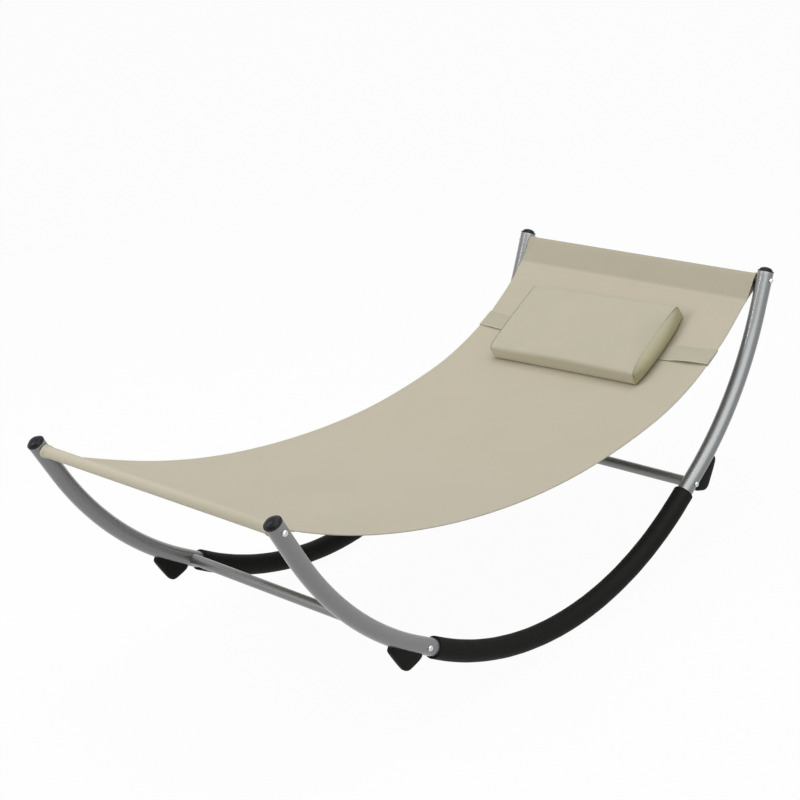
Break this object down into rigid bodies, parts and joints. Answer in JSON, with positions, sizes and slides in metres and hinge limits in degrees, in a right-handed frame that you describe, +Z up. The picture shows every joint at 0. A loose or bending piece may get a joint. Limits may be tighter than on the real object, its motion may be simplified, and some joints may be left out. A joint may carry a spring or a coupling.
{
  "type": "hammock lounge chair",
  "caption": "Rocking outdoor lounger: bent tube rails on soft rocker sleeves carry a slung cloth bed with a boxed head pillow that slides on a strap.",
  "frame": {"origin": "on the floor under the middle of the chair, at the centre of the bounding box's underside", "axes": "+Z up, +Y from the foot end to the head end, X across the chair"},
  "size_m": [0.784, 1.6262, 0.5952],
  "materials": {
    "frame_paint": "silver-grey powder coat",
    "sleeve_rubber": "matte black",
    "cap_plastic": "satin black",
    "stop_rubber": "matte black",
    "zinc_steel": "bright zinc",
    "insert_steel": "yellow zinc",
    "sling_cloth": "woven beige polyester",
    "pillow_cloth": "woven beige polyester",
    "pillow_fibre": "fibre filling",
    "strap_webbing": "elastic webbing"
  },
  "bodies": {
    "frame": {"floor_tube_right": "frame_paint", "floor_tube_left": "frame_paint", "foot_tube_right": "frame_paint", "foot_tube_left": "frame_paint", "head_tube_right": "frame_paint", "head_tube_left": "frame_paint", "floor_sleeve_right": "sleeve_rubber", "floor_sleeve_left": "sleeve_rubber", "foot_bar": "frame_paint", "head_bar": "frame_paint", "foot_stretcher": "frame_paint", "head_stretcher": "frame_paint", "foot_cap_right": "cap_plastic", "foot_cap_left": "cap_plastic", "head_cap_right": "cap_plastic", "head_cap_left": "cap_plastic", "foot_stop_right": "stop_rubber", "foot_stop_left": "stop_rubber", "head_stop_right": "stop_rubber", "head_stop_left": "stop_rubber", "bar_bolts": "zinc_steel", "joint_bolts": "zinc_steel", "bar_inserts": "insert_steel", "stretcher_inserts": "insert_steel", "stop_screws": "zinc_steel", "sling": "sling_cloth"},
    "pillow": {"pillow_cover": "pillow_cloth", "pillow_filling": "pillow_fibre", "pillow_strap": "strap_webbing"}
  },
  "joints": [
    {"name": "pillow_slide", "type": "hinge", "parent": "frame", "child": "pillow", "pos_m": [0, 0.25253, 1.07777], "axis": [1, 0, 0], "range_deg": [-14, 5]}
  ]
}
